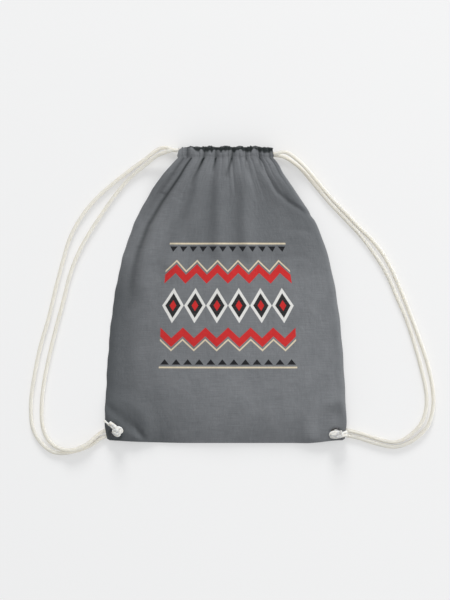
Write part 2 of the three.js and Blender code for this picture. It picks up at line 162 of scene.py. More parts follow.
def printed_band(f, across, along, fuzz, slub, cloth):
    """Ink over the cloth's colour: a row of lozenges between zigzags, rows of saw-teeth and lines."""
    x = f.math("SUBTRACT", across, PRINT_CENTRE[0])
    y = f.math("SUBTRACT", along, PRINT_CENTRE[1])
    ragged = f.math("MULTIPLY", f.math("SUBTRACT", fuzz, 0.5), 1.2)
    side = f.math("ADD", f.math("ABSOLUTE", x), ragged)
    rise = f.math("ADD", f.math("ABSOLUTE", y), ragged)
    step = 2 * PRINT_HALF / LOZENGES
    tooth = f.math("PINGPONG", f.math("ADD", x, PRINT_HALF), step / 2)
    lozenge = f.math("ADD", f.math("MULTIPLY", f.math("SUBTRACT", step / 2, tooth), 1.5), rise)
    zig = f.math("SUBTRACT", rise, f.math("MULTIPLY", tooth, 0.9))
    small = f.math("PINGPONG", f.math("ADD", x, PRINT_HALF), step / 4)
    saw = f.math("SUBTRACT", rise, f.math("MULTIPLY", small, -1.2))
    saw_row = f.math("MULTIPLY", f.between(saw, 92.0, 200.0, INK_EDGE), f.between(rise, 70.0, 90.0, INK_EDGE))
    layers = [
        (f.between(lozenge, -60.0, 27.0, INK_EDGE), INK_WHITE),
        (f.between(lozenge, -60.0, 19.0, INK_EDGE), INK_BLACK),
        (f.between(lozenge, -60.0, 8.5, INK_EDGE), INK_RED),
        (f.between(zig, 33.0, 47.0, INK_EDGE), INK_RED),
        (f.between(zig, 50.0, 53.5, INK_EDGE), INK_CREAM),
        (saw_row, INK_BLACK),
        (f.between(rise, 92.5, 95.5, INK_EDGE), INK_CREAM),
    ]
    inside = f.between(side, -1.0, PRINT_HALF, INK_EDGE)
    rubbed = f.math("ADD", 0.88, f.math("MULTIPLY", slub, 0.2), True)
    colour = cloth
    for shape, ink in layers:
        cover = f.math("MULTIPLY", f.math("MULTIPLY", shape, inside), rubbed)
        colour = f.mix(cover, colour, ink)
    return colour


def canvas(name, printed):
    """Woven cotton canvas, with or without the printed band; the threads follow the flat cloth."""
    f = Finish(name)
    flat = f.attribute("flat", "Vector")
    across, along = f.split(flat)
    turn = 2 * math.pi / THREAD_PITCH
    warp = f.math("SINE", f.math("MULTIPLY", across, turn))
    weft = f.math("SINE", f.math("MULTIPLY", along, turn))
    weave = f.math("MULTIPLY", warp, weft)
    slub_weft = f.noise(flat, (0.035, 1.4, 1.0), 4.0, 0.6)
    slub_warp = f.noise(flat, (1.3, 0.03, 1.0), 3.0, 0.6)
    cloudy = f.noise(flat, (0.03, 0.03, 0.03), 4.0, 0.6)
    fuzz = f.noise(flat, (2.3, 2.3, 2.3), 3.0, 0.7)
    tone = f.weigh((slub_weft, 0.62), (slub_warp, 0.25), (cloudy, 0.35), (fuzz, 0.28))
    tone = f.math("MULTIPLY", f.math("SUBTRACT", tone, 0.42), 2.2, True)
    colour = f.mix(tone, CLOTH_DARK, CLOTH_GREY)
    # Painted shade: darker patches towards the left edge, the lower left, the upper part and the right rim.
    for side_range, height_range, share in PAINTED_SHADE_PATCHES:
        patch = f.math("MULTIPLY", f.between(across, *side_range), f.between(along, *height_range))
        colour = f.mix(f.math("MULTIPLY", patch, share), colour, CLOTH_PAINTED_SHADE)
    if printed:
        colour = printed_band(f, across, along, fuzz, slub_weft, colour)
    # Painted shade: the cloth darkens towards near-black by the shade kept on its points.
    painted_fold_shade = f.math("MULTIPLY", f.attribute("painted_fold_shade", "Fac"), 0.95, True)
    f.give("Base Color", f.mix(painted_fold_shade, colour, PAINTED_SHADE_BLACK))
    f.give("Roughness", f.weigh((tone, 0.12), base=0.82))
    f.give("Specular IOR Level", 0.25)
    f.give("Sheen Weight", 0.12)
    f.give("Sheen Roughness", 0.5)
    thread = f.weigh((weave, 0.5), (slub_weft, 1.6), (fuzz, 0.8))
    low = f.bump(f.noise(flat, (0.14, 0.09, 0.1), 3.0, 0.5), 0.25, 0.003)
    f.give("Normal", f.bump(thread, 0.35, 0.0004, low))
    return f.material


plain_canvas = canvas("grey canvas", False)
printed_canvas = canvas("grey canvas with printed band", True)

# Outline of the laid-out bag: square below and drawn in at the neck, where the cords gather it to under half
# its width. Both panels share it. The right shoulder is pulled in a little further, and the cords pull both
# lower corners in.
BAG_HALF = 185.0
MOUTH_HALF = 72.0
BOTTOM, NECK, TOP = -226.0, 208.0, 226.0
GATHER_REACH = 0.26
CORNER_RADIUS = 3.5
EYELET_X, EYELET_Y = 168.0, -209.0
CORNER_LIFT, CORNER_FLAT, CORNER_REACH, SNUG_REACH = 8.0, 24.0, 72.0, 52.0
SHOULDER_PULL, SHOULDER_Y, SHOULDER_SPAN = 7.0, 166.0, 42.0
NOTCH, NOTCH_Y, NOTCH_SPAN = 1.6, 121.0, 5.0
CORNER_PULL, CORNER_PULL_FROM, CORNER_PULL_DEPTH = 6.0, -196.0, 30.0
BOTTOM_SLOPE, BOTTOM_SLOPE_REACH = 4.8, 24.0
NECK_LIFT, NECK_LIFT_REACH = 4.9, 60.0


def smooth(share):
    """Soft step from 0 to 1."""
    t = np.clip(share, 0.0, 1.0)
    return t * t * (3.0 - 2.0 * t)


def hump(value, centre, span):
    """Soft bump of height 1 round a centre."""
    return np.exp(-(((value - centre) / span) ** 2))


def half_width(y):
    """Half of the bag's width at a height, before the cords pull its edges about."""
    fall = np.clip((NECK - y) / (NECK - BOTTOM), 0.0, 1.0)
    spread = (1 - np.exp(-fall / GATHER_REACH)) / (1 - math.exp(-1 / GATHER_REACH))
    inside = np.maximum(CORNER_RADIUS - (y - BOTTOM), 0.0)
    cut = CORNER_RADIUS - np.sqrt(np.maximum(CORNER_RADIUS**2 - inside**2, 0.0))
    return MOUTH_HALF + (BAG_HALF - MOUTH_HALF) * spread - cut


def shoulder_pull(y):
    """How far the right edge is pulled in below the neck, with a small notch where the seam puckers."""
    shoulder = SHOULDER_PULL * hump(y, SHOULDER_Y, SHOULDER_SPAN) * smooth((NECK - y) / 25)
    return shoulder + NOTCH * hump(y, NOTCH_Y, NOTCH_SPAN)


def outline(u, y):
    """Place on the ground of a spot of cloth, from its share u of the half width and its height y."""
    calm = smooth((NECK - y) / 30)
    pulled = CORNER_PULL * np.clip((CORNER_PULL_FROM - y) / CORNER_PULL_DEPTH, 0, 1) ** 1.6
    left = half_width(y) - pulled + (0.35 * np.sin(y / 9.0 + 1.3) + 0.25 * np.sin(y / 4.1)) * calm
    right = half_width(y) - 0.6 * pulled - shoulder_pull(y) + 0.35 * np.sin(y / 8.0) * calm
    rise = np.clip((-u - 0.3) / 0.7, 0, 1) ** 1.8 + smooth((u - 0.68) / 0.32)
    lift = BOTTOM_SLOPE * np.exp(-(y - BOTTOM) / BOTTOM_SLOPE_REACH) * rise
    return np.where(u < 0, u * left, u * right), y + lift


def from_eyelet(x, y):
    return np.hypot(np.abs(x) - EYELET_X, y - EYELET_Y)


def corner_share(x, y, reach):
    """1 round an eyelet, falling to 0 at the given reach."""
    return smooth((reach - from_eyelet(x, y)) / (reach - CORNER_FLAT))


def back_under(x, y):
    """Height of the back above the ground: the cords lift it at the corners, and the casing at the neck."""
    at_neck = smooth(1 - (NECK - y) / NECK_LIFT_REACH)
    return CORNER_LIFT * corner_share(x, y, CORNER_REACH) + NECK_LIFT * at_neck


# Folds of the front panel: most fan out from the gathers and fade towards the print, the others
# lie along the sides and at the lower left. Each is a line of points with its height (a ridge) or depth (a
# crease), and its width to the left and to the right, each given at the line's start and at its end.
NARROW_CREASE, FULL_CREASE = 3.0, 5.0
EDGE_BLEND = 40.0
FOLDS = [
    ([(-48, 209), (-63, 188), (-80, 164), (-86, 151), (-106, 114), (-113, 90), (-124, 59), (-131, 20)],
     (7.0, 4.0), (4.5, 12.0), (17.0, 26.0)),
    ([(-52, 207), (-60, 196), (-71, 178), (-98, 139), (-118, 105), (-133, 65), (-141, 29), (-146, -15)],
     (-5.0, -0.8), (2.4, 9.0), (2.0, 9.0)),
    ([(-30, 214), (-37, 199), (-48, 178), (-51, 168)], (-6.2, -1.0), (2.2, 4.0), (1.8, 4.0)),
    ([(-25, 214), (-40, 183), (-45, 151), (-59, 111), (-72, 90), (-86, 52)],
     (6.4, 3.6), (6.0, 13.0), (11.0, 17.0)),
    ([(-14, 212), (-16, 200), (-19, 189)], (-5.6, -1.0), (1.8, 3.0), (1.6, 3.0)),
    ([(-8, 204), (-10, 170), (-11, 120), (-13, 70)], (4.0, 3.8), (8.0, 12.0), (10.0, 12.0)),
    ([(10, 212), (8, 202), (2, 182)], (-4.6, -1.6), (1.8, 5.0), (1.8, 5.0)),
    ([(24, 206), (30, 166), (29, 110), (33, 70)], (4.2, 3.8), (8.0, 12.0), (11.0, 14.0)),
    ([(32, 212), (30, 200), (34, 184)], (-2.6, -0.4), (1.6, 4.0), (1.6, 4.0)),
    ([(50, 208), (66, 176), (78, 152)], (3.4, 1.4), (8.0, 12.0), (9.0, 14.0)),
    ([(52, 200), (64, 178), (79, 156), (96, 141), (124, 124), (138, 119)],
     (-1.2, -3.0), (3.5, 4.2), (3.5, 3.6)),
    ([(70, 196), (86, 172), (112, 142), (136, 128)], (1.2, 2.4), (7.0, 9.0), (9.0, 7.0)),
    ([(70, 203), (90, 176), (110, 150), (132, 122), (152, 90), (166, 52), (172, 10)],
     (2.6, 0.6), (30.0, 50.0), (9.0, 9.0)),
    ([(50, 213), (52, 204), (56, 190)], (-4.0, -0.6), (1.8, 3.4), (1.8, 3.4)),
    ([(-64, 207), (-80, 184), (-104, 152), (-124, 120)], (-2.6, -0.6), (2.6, 8.0), (2.6, 8.0)),
    ([(88, 101), (124, 98)], (-0.6, -1.2), (5.0, 5.0), (5.0, 5.0)),
    ([(56, 55), (116, 58)], (-0.5, -1.0), (7.0, 6.0), (7.0, 6.0)),
    ([(-181, -173), (-170, -181), (-158, -189), (-147, -197), (-138, -205), (-132, -213), (-127, -222)],
     (-11.0, -6.0), (7.0, 6.0), (7.0, 6.0)),
    ([(-110, -222), (-96, -212), (-84, -206)], (-1.6, -0.4), (6.0, 8.0), (6.0, 8.0)),
    ([(-181, -190), (-173, -189), (-166, -190)], (10.0, 7.0), (6.0, 6.0), (6.0, 6.0)),
    ([(-147, -212), (-137, -217), (-132, -221)], (4.0, 5.0), (6.0, 5.0), (6.0, 5.0)),
    ([(-170, 30), (-158, -40), (-156, -120), (-160, -190)], (-1.0, -1.0), (9.0, 14.0), (12.0, 18.0)),
    ([(152, 30), (150, -50), (160, -130)], (-0.5, -0.6), (12.0, 16.0), (12.0, 16.0)),
]


def fold_field(x, y):
    """Height that the folds add at each point, and how deep in a narrow crease it lies, from 0 to 1."""
    height = np.zeros_like(x)
    crease = np.zeros_like(x)
    for points, rise, width_left, width_right in FOLDS:
        p = np.array(points, float)
        lengths = np.hypot(*np.diff(p, axis=0).T)
        ends = np.concatenate([[0], np.cumsum(lengths)]) / lengths.sum()
        best = np.full(x.shape, 1e9)
        t_best = np.zeros_like(x)
        side = np.zeros_like(x)
        for k in range(len(p) - 1):
            (ax, ay), (bx, by) = p[k], p[k + 1]
            dx, dy = bx - ax, by - ay
            t = np.clip(((x - ax) * dx + (y - ay) * dy) / (dx * dx + dy * dy), 0, 1)
            away = np.hypot(x - ax - t * dx, y - ay - t * dy)
            near = away < best
            best = np.where(near, away, best)
            t_best = np.where(near, ends[k] + t * (ends[k + 1] - ends[k]), t_best)
            side = np.where(near, (x - ax) * dy - (y - ay) * dx, side)
        left = width_left[0] + (width_left[1] - width_left[0]) * t_best
        right = width_right[0] + (width_right[1] - width_right[0]) * t_best
        width = left + (right - left) * (0.5 + 0.5 * np.tanh(-side / (EDGE_BLEND * left)))
        spread = hump(best, 0.0, width)
        profile = (rise[0] + (rise[1] - rise[0]) * t_best) * spread
        height += profile
        # The crease share becomes painted shade on the cloth.
        if width_left[0] < NARROW_CREASE:
            crease = np.maximum(crease, -profile / FULL_CREASE * spread)
    return height, np.clip(crease, 0, 1)


# Casings: the top of each panel is folded over to the inside and stitched down, which makes a tunnel 18 mm
# deep. The drawn cords pack the hem into small uneven pleats, and its folded edge stands up as a ruffle.
FRONT_CASING_Z, BACK_CASING_Z = 20.0, 5.4
CASING_HALF_Y, CASING_HALF_Z = 9.0, 4.8
# Each pleat has its place across the mouth, depth, lean, width, and its reach below the stitch line.
PLEATS = [
    (-0.94, 0.3, 0.03, 0.020, 3), (-0.80, 0.95, -0.01, 0.030, 5), (-0.70, 0.4, -0.10, 0.022, 4),
    (-0.58, 0.4, 0.03, 0.026, 5), (-0.40, 1.0, -0.06, 0.028, 20), (-0.31, 0.25, 0.03, 0.018, 3),
    (-0.195, 1.0, -0.013, 0.024, 14), (-0.10, 0.25, 0.03, 0.020, 3), (0.055, 0.5, 0.0, 0.020, 5),
    (0.16, 1.0, -0.03, 0.028, 12), (0.26, 0.3, 0.02, 0.020, 4), (0.40, 0.7, 0.02, 0.022, 6),
    (0.50, 0.3, 0.02, 0.020, 4), (0.67, 0.85, 0.04, 0.026, 8), (0.77, 0.3, 0.03, 0.024, 4),
    (0.89, 0.6, 0.03, 0.026, 6),
]
HEM_DEPTH = 18.0


def pleat_field(u, down):
    """1 on the puffs between the pleats, falling to 0 in the deepest.

    down is 0 at the hem's top edge, 1 at the stitch line and more below it.
    """
    below = np.maximum(down - 1, 0)
    dip = np.zeros_like(u)
    for place, depth, lean, width, reach in PLEATS:
        away = np.abs(u - place - lean * down) / (width * (1 + 0.6 * np.minimum(below, 3)))
        shape = 0.65 * np.exp(-away) + 0.35 * np.exp(-((away / 3.2) ** 2))
        dip = np.maximum(dip, depth * shape * np.exp(-below * HEM_DEPTH / reach))
    return 1.0 - dip


CREST, CROWN, NECK_HOLLOW, NECK_SLOPE = 0.05, 20.0, 0.25, 95.0
COLUMNS, PANEL_ROWS, CASING_ROWS = 241, 236, 46
BACK_COLUMNS, BACK_ROWS, BACK_CASING_ROWS = 121, 120, 30
FRONT_TURN, BACK_TURN = (50, 336), (-22, -336)
FRONT_FULLER = 1.2
PANEL_GAP, SEAM_PUFF, SEAM_PUFF_REACH = 0.75, 2.5, 5.0
BOTTOM_RISE_REACH = 95.0
PLEAT_SINK = 3.0
SOFT_WAVE, FINE_WAVE = 0.7, 0.18
HEM_CLOTH = 46.0
EYELET_HOLE = 6.6
CASING_NOTCH, NOTCH_SHARE = 56.0, 0.42
STITCH_PROUD = 0.12
# The hem's top edge stays above HEM_EDGE, which leaves the cords their room.
HEM_EDGE = 224.4
# Painted shade: a ring of cloth round each knot, a little below it, is coloured darker, as in the knot's
# shadow.
PAINTED_KNOT_RING_SHADE, KNOT_RING_RADIUS, KNOT_RING_WIDTH, KNOT_RING_DROP = 0.42, 9.5, 2.6, 3.0


def column_shares(rows, columns):
    """Shares of the half width, from -1 to 1, closer together towards both edges."""
    s = np.linspace(-1, 1, columns)
    return (np.sign(s) * (1 - (1 - np.abs(s)) ** 1.18))[None, :].repeat(rows, 0)


def row_heights(rows, columns):
    """Heights on the panel, closer together towards the neck."""
    s = np.linspace(0, 1, rows)
    return (BOTTOM + (NECK - BOTTOM) * (1 - (1 - s) ** 1.35))[:, None].repeat(columns, 1)


def casing_path(start, end, count, centre_z, half_z):
    """Squarish round of a casing, seen from its end, between two angles."""
    turn = np.radians(np.linspace(start, end, count))[:, None]
    y = (TOP + NECK) / 2 - CASING_HALF_Y * np.sign(np.cos(turn)) * np.abs(np.cos(turn)) ** 0.72
    z = centre_z + half_z * np.sign(np.sin(turn)) * np.abs(np.sin(turn)) ** 0.72
    return y, z, turn


def flat_cloth(u, flat_y, hem_u):
    """Coordinates on the flat cloth, which the weave and the print follow, with the hem above the panel."""
    rows, columns = hem_u.shape
    along = np.concatenate([flat_y[:, 0], NECK + np.linspace(1, HEM_CLOTH, rows)])
    across = np.concatenate([u, hem_u]) * BAG_HALF
    return np.stack([across, along[:, None].repeat(columns, 1), np.zeros_like(across)], -1)


def front_casing():
    """Rows of the front hem, from the stitch line over the cords and the top and down the inside again."""
    half_z = CASING_HALF_Z + FRONT_FULLER
    round_y, round_z, turn = casing_path(*FRONT_TURN, CASING_ROWS, FRONT_CASING_Z, half_z)
    u = column_shares(CASING_ROWS, COLUMNS)
    down = np.clip((math.pi - turn) / 2.2, 0, 1)
    crown = pleat_field(u, down)
    outer = np.clip(np.sin(turn), 0, 1) ** 0.5
    edge = hump(turn, 3.0, 0.75)
    ruffle = 0.9 * np.sin(u * 15.0 + 0.8) + 1.0 * np.sin(u * 39.0) + 0.9 * np.sin(u * 68.0 + 2.0)
    ruffle = ruffle * (1 - 0.8 * smooth((u - 0.7) / 0.15))
    round_end = np.where(u < 0, np.abs(u) ** 14, 0.6 * np.abs(u) ** 9) * hump(turn, 3.1, 0.9)
    y = round_y + edge * (0.9 * ruffle - 1.4 + 2.6 * (crown - 0.8)) + 0.5 * np.sin(u * 13.0) * outer
    y = np.where(edge > 0.35, np.maximum(y, HEM_EDGE - 2.0 * (1 - edge)), y) - 4.2 * round_end
    z = round_z + outer * (3.6 * (crown - 0.72) + 0.8 * np.sin(u * 9.0 + 1.0)) + edge * 0.6 * ruffle
    z = np.where(outer > 0.05, np.maximum(z, FRONT_CASING_Z + 4.0 * outer), z)
    neck_x, _ = outline(u, np.full_like(u, NECK))
    bend = 1.3 * np.sin(turn * 2.0) * np.sign(u) * np.abs(u) ** 12
    sway = 0.9 * edge * np.sin(u * 31.0) * (1 - smooth((u - 0.8) / 0.2))
    x = neck_x + bend + sway - 2.0 * np.sign(u) * round_end
    # Painted shade: darker between the pleats and over the hem's rolled top edge, from a start that wanders
    # along it.
    bare = smooth((-u - 0.6) / 0.14) - 0.4 * hump(u, 0.87, 0.09)
    starts = 1.62 + 0.12 * np.sin(u * 23.0) - 0.08 * ruffle - 0.16 * (1 - crown) + 0.7 * bare
    rolled = smooth((turn - starts) / 0.3)
    shade = (1 - crown) ** 1.3 * (0.25 + 0.45 * outer) + 1.2 * rolled
    return np.stack([x, y, z], -1), np.clip(shade, 0, 1), u


def front_grid():
    """Outer side of the front: panel rows from the bottom seam to the stitch line, then round the casing."""
    hem, hem_shade, hem_u = front_casing()
    u = column_shares(PANEL_ROWS, COLUMNS)
    flat_y = row_heights(PANEL_ROWS, COLUMNS)
    x, y = outline(u, flat_y)
    corner = corner_share(x, y, SNUG_REACH)
    across = np.abs(u)
    rise = 1 - np.clip(1 - (flat_y - BOTTOM) / BOTTOM_RISE_REACH, 0, 1) ** 3
    gap = PANEL_GAP + SEAM_PUFF * (1 - across**40) * (1 - np.exp(-(flat_y - BOTTOM) / SEAM_PUFF_REACH))
    rightward = np.clip(u, 0, 1)
    body = 1 - np.clip((CREST - u) / (1 + CREST), 0, 1) ** 2 - 0.35 * rightward**1.6 - 0.65 * rightward**70
    hollow = 1 - NECK_HOLLOW * smooth((flat_y - 10.0) / 110.0)
    z = back_under(x, y) + CLOTH + gap + CROWN * body * rise * hollow * (1 - 0.85 * corner)
    height, crease = fold_field(x, y)
    flatten = (1 - 0.75 * corner) * (1 - across**12) * smooth((flat_y - BOTTOM) / 14.0)
    pleat = pleat_field(u, 1 + (NECK - flat_y) / HEM_DEPTH)
    z = z + height * flatten - PLEAT_SINK * (1 - pleat)
    soft = np.sin(x / 23 + y / 31 + 0.6) * np.sin(y / 27 - x / 49 + 1.1)
    fine = np.sin(x / 7.3 - y / 12.1) * np.sin(y / 8.9 + x / 15.7 + 2.0)
    z = z + (SOFT_WAVE * soft + FINE_WAVE * fine) * flatten
    near = smooth(1 - (NECK - flat_y) / NECK_SLOPE) ** 1.5
    meets = hem[0, :, 2][None, :] - 0.15 + 0.6 * height * (1 - across**12) * (1 - near)
    z = z * (1 - near) + meets * near
    # Painted shade round each knot.
    knot_ring_shade = PAINTED_KNOT_RING_SHADE * hump(from_eyelet(x, y + KNOT_RING_DROP), KNOT_RING_RADIUS, KNOT_RING_WIDTH)
    # Painted shade: darker in the narrow creases and between the pleats, plus the ring round each knot.
    shade = np.clip(crease * 0.9 + (1 - pleat) ** 1.5 * 0.5 + knot_ring_shade, 0, 1)
    points = np.concatenate([np.stack([x, y, z], -1), hem])
    return points, flat_cloth(u, flat_y, hem_u), np.concatenate([shade, hem_shade])


def back_grid():
    """Outer side of the back, which lies on the ground; its casing turns up and over to the inside."""
    u = column_shares(BACK_ROWS, BACK_COLUMNS)
    flat_y = row_heights(BACK_ROWS, BACK_COLUMNS)
    x, y = outline(u, flat_y)
    near = smooth(1 - (NECK - flat_y) / 30.0) ** 2
    z = (back_under(x, y) + 0.1) * (1 - near) + (BACK_CASING_Z - 1.8) * near
    round_y, round_z, turn = casing_path(*BACK_TURN, BACK_CASING_ROWS, BACK_CASING_Z, CASING_HALF_Z)
    hem_u = column_shares(BACK_CASING_ROWS, BACK_COLUMNS)
    crown = pleat_field(-hem_u, np.zeros_like(hem_u))
    edge = hump(turn, -math.pi, 0.9)
    round_end = np.abs(hem_u) ** 8 * edge
    hem_x, _ = outline(hem_u, np.full_like(hem_u, NECK))
    hem_x = hem_x + edge * 0.8 * np.sin(hem_u * 27.0)
    swell = 0.8 + 0.9 * np.sin(hem_u * 19.0 + 2.0) + 2.6 * (crown - 0.8)
    hem_y = round_y + edge * swell - 4.0 * round_end
    hem_z = np.maximum(round_z + edge * 1.1 * np.sin(hem_u * 15.0), 0.15)
    # Painted shade between the pleats and along the back hem's edge.
    hem_shade = np.clip((1 - crown) * 0.5 + 0.9 * edge, 0, 1)
    points = np.concatenate([np.stack([x, y, z], -1), np.stack([hem_x, hem_y, hem_z], -1)])
    return points, flat_cloth(u, flat_y, hem_u), np.concatenate([np.zeros_like(u), hem_shade])


def unit(vectors):
    return vectors / np.maximum(np.linalg.norm(vectors, axis=-1, keepdims=True), 1e-9)


def grid_normals(points, outward):
    return unit(np.cross(np.gradient(points, axis=1), np.gradient(points, axis=0))) * outward


def smooth_mesh(name, coords, faces, material):
    """Smooth-shaded mesh of one material, from points in millimetres."""
    mesh = bpy.data.meshes.new(name)
    mesh.from_pydata((np.asarray(coords) * MM).tolist(), [], faces)
    mesh.polygons.foreach_set("use_smooth", [True] * len(faces))
    mesh.materials.append(material)
    return mesh


def keep_on_points(mesh, label, values):
    """Numbers or vectors kept on a mesh's points for its material."""
    values = np.asarray(values, np.float32)
    kind, part = ("FLOAT_VECTOR", "vector") if values.ndim > 1 else ("FLOAT", "value")
    field = mesh.attributes.new(label, kind, "POINT")
    field.data.foreach_set(part, values.ravel())


def put_in_scene(name, data):
    thing = bpy.data.objects.new(name, data)
    bpy.context.scene.collection.objects.link(thing)
    return thing


def cloth_piece(name, points, flat, shade, keep, outward, material):
    """Closed sheet with the cloth's thickness: an outer side, an inner side, and walls round its edges."""
    rows, columns = points.shape[:2]
    normal = grid_normals(points, outward)
    inner = points - normal * CLOTH
    index = np.arange(rows * columns).reshape(rows, columns)
    quads = np.stack([index[:-1, :-1], index[:-1, 1:], index[1:, 1:], index[1:, :-1]], -1)[keep]
    if outward < 0:
        quads = quads[:, ::-1]
    edges = {}
    for quad in quads.tolist():
        for a, b in zip(quad, quad[1:] + quad[:1]):
            if (b, a) in edges:
                del edges[(b, a)]
            else:
                edges[(a, b)] = True
    offset = rows * columns
    walls = [(b, a, a + offset, b + offset) for a, b in edges]
    faces = np.concatenate([quads, quads[:, ::-1] + offset, walls])
    used = np.zeros(2 * offset, bool)
    used[faces.ravel()] = True
    renumber = np.cumsum(used) - 1
    coords = np.concatenate([points.reshape(-1, 3), inner.reshape(-1, 3)])[used]
    mesh = smooth_mesh(name, coords, renumber[faces].tolist(), material)
    keep_on_points(mesh, "flat", np.concatenate([flat.reshape(-1, 3)] * 2)[used])
    # The painted shade is kept on the points for the material.
    keep_on_points(mesh, "painted_fold_shade", np.concatenate([shade.ravel()] * 2)[used])
    both = np.concatenate([normal.reshape(-1, 3), -normal.reshape(-1, 3)])[used]
    mesh.normals_split_custom_set_from_vertices(both.tolist())
    return put_in_scene(name, mesh)


def follow_hem(piece):
    """Bakes a piece's placement into its mesh and reads its points back in millimetres."""
    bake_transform(piece)
    spots = np.empty(len(piece.data.vertices) * 3)
    piece.data.vertices.foreach_get("co", spots)
    spots = spots.reshape(-1, 3) / MM


def face_centres(points):
    return (points[:-1, :-1] + points[1:, 1:]) / 2


def clear_of_eyelet(centre):
    return from_eyelet(centre[..., 0], centre[..., 1]) > EYELET_HOLE


def kept_faces(points, casing_rows):
    """Faces that are there: none in the eyelet holes, nor where a cord turns at the casing's inner ends."""
    centre = face_centres(points)
    keep = clear_of_eyelet(centre)
    inner = int(casing_rows * NOTCH_SHARE)
    keep[-inner:] &= np.abs(centre[-inner:, :, 0]) < CASING_NOTCH
    return keep


SIDES = ((-1, "left"), (1, "right"))
stitch_lines = {}
for label, grid, casing_rows, outward, material in (
    ("back", back_grid(), BACK_CASING_ROWS, -1, plain_canvas),
    ("front", front_grid(), CASING_ROWS, 1, printed_canvas),
):
    points, flat, shade = grid
    keep = kept_faces(points, casing_rows)
    hem_row = points.shape[0] - casing_rows - 1
    stitch_lines[label] = (points + grid_normals(points, outward) * STITCH_PROUD)[hem_row, 1:-1]
    middle = points.shape[1] // 2
    for side, word in SIDES:
        columns = slice(0, middle + 1) if side < 0 else slice(middle, None)
        faces = keep[:, :middle] if side < 0 else keep[:, middle:]
        half = (points[:, columns], flat[:, columns], shade[:, columns])
        piece = cloth_piece(f"{label}_cloth_{word}", *half, faces, outward, material)
        follow_hem(piece)
        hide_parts(f"{label}_panel", f"{label}_casing")

# Hem stitching: a row of lockstitch in grey cotton thread along the lower edge of each casing, about 3 mm to
# a stitch. It holds the folded hem down, and its stitches follow the pleats.
STITCH_LENGTH, STITCH_PITCH, THREAD = 2.3, 3.1, 0.5
THREAD_GREY = (0.22, 0.227, 0.237, 1.0)


def sewing_thread():
    f = Finish("grey sewing thread")
    fibre = f.noise(f.object_place(), (3000.0, 3000.0, 3000.0), 3.0, 0.6)
    f.give("Base Color", f.mix(fibre, CLOTH_DARK, THREAD_GREY))
    f.give("Roughness", f.weigh((fibre, 0.25), base=0.55))
    f.give("Normal", f.bump(fibre, 0.4, 0.0002))
    return f.material


grey_thread = sewing_thread()


def lockstitch_tree():
    """Even stitches along a line, each a short rounded thread laid in the line's direction."""
    tree = bpy.data.node_groups.new("row of lockstitch", "GeometryNodeTree")
    tree.interface.new_socket("Line", in_out="INPUT", socket_type="NodeSocketGeometry")
    for label in ("Pitch", "Length", "Thread"):
        tree.interface.new_socket(label, in_out="INPUT", socket_type="NodeSocketFloat")
    tree.interface.new_socket("Finish", in_out="INPUT", socket_type="NodeSocketMaterial")
    tree.interface.new_socket("Stitches", in_out="OUTPUT", socket_type="NodeSocketGeometry")
    add = tree.nodes.new
    given = add("NodeGroupInput")
    line = add("GeometryNodeMeshToCurve")
    even = add("GeometryNodeResampleCurve")
    even.mode = "LENGTH"
    bead = add("GeometryNodeMeshUVSphere")
    bead.inputs["Segments"].default_value = 8
    bead.inputs["Rings"].default_value = 6
    bead.inputs["Radius"].default_value = 0.5
    size = add("ShaderNodeCombineXYZ")
    way = add("GeometryNodeInputTangent")
    aim = add("FunctionNodeAlignRotationToVector")
    aim.axis = "X"
    place = add("GeometryNodeInstanceOnPoints")
    whole = add("GeometryNodeRealizeInstances")
    soft = add("GeometryNodeSetShadeSmooth")
    finish = add("GeometryNodeSetMaterial")
    result = add("NodeGroupOutput")
    join = tree.links.new
    join(given.outputs["Line"], line.inputs["Mesh"])
    join(line.outputs["Curve"], even.inputs["Curve"])
    join(given.outputs["Pitch"], even.inputs["Length"])
    join(given.outputs["Length"], size.inputs["X"])
    join(given.outputs["Thread"], size.inputs["Y"])
    join(given.outputs["Thread"], size.inputs["Z"])
    join(way.outputs["Tangent"], aim.inputs["Vector"])
    join(even.outputs["Curve"], place.inputs["Points"])
    join(bead.outputs["Mesh"], place.inputs["Instance"])
    join(aim.outputs["Rotation"], place.inputs["Rotation"])
    join(size.outputs["Vector"], place.inputs["Scale"])
    join(place.outputs["Instances"], whole.inputs["Geometry"])
    join(whole.outputs["Geometry"], soft.inputs[0])
    join(soft.outputs[0], finish.inputs["Geometry"])
    join(given.outputs["Finish"], finish.inputs["Material"])
    join(finish.outputs["Geometry"], result.inputs["Stitches"])
    return tree


stitch_row = lockstitch_tree()


def sew(name, line):
    """Plain mesh of the stitches along a line of points."""
    guide = bpy.data.meshes.new(name)
    guide.from_pydata((line * MM).tolist(), [(k, k + 1) for k in range(len(line) - 1)], [])
    piece = put_in_scene(name, guide)
    nodes = piece.modifiers.new("stitches", "NODES")
    nodes.node_group = stitch_row
    values = {
        "Pitch": STITCH_PITCH * MM, "Length": STITCH_LENGTH * MM,
        "Thread": THREAD * MM, "Finish": grey_thread,
    }
    for socket in stitch_row.interface.items_tree:
        if socket.in_out == "INPUT" and socket.name in values:
            nodes[socket.identifier] = values[socket.name]
    made = bpy.data.meshes.new_from_object(piece.evaluated_get(bpy.context.evaluated_depsgraph_get()))
    piece.modifiers.remove(nodes)
    piece.data = made
    return piece


for label, line in stitch_lines.items():
    middle = len(line) // 2
    for side, word in SIDES:
        row = sew(f"{label}_hem_stitches_{word}", line[: middle + 1] if side < 0 else line[middle:])
        follow_hem(row)

# Seam allowances and corner patches: strips and squares of the same canvas between the panels, seen only from
# inside. The panels are sewn together along them, and the patches keep the eyelets from tearing out.
SEAM_WIDTH, SEAM_EDGE = 7.0, 1.2
SEAM_ROWS, SEAM_COLUMNS = 90, 5
BOTTOM_ROWS, BOTTOM_COLUMNS = 4, 81
PATCH_HALF = 8.0


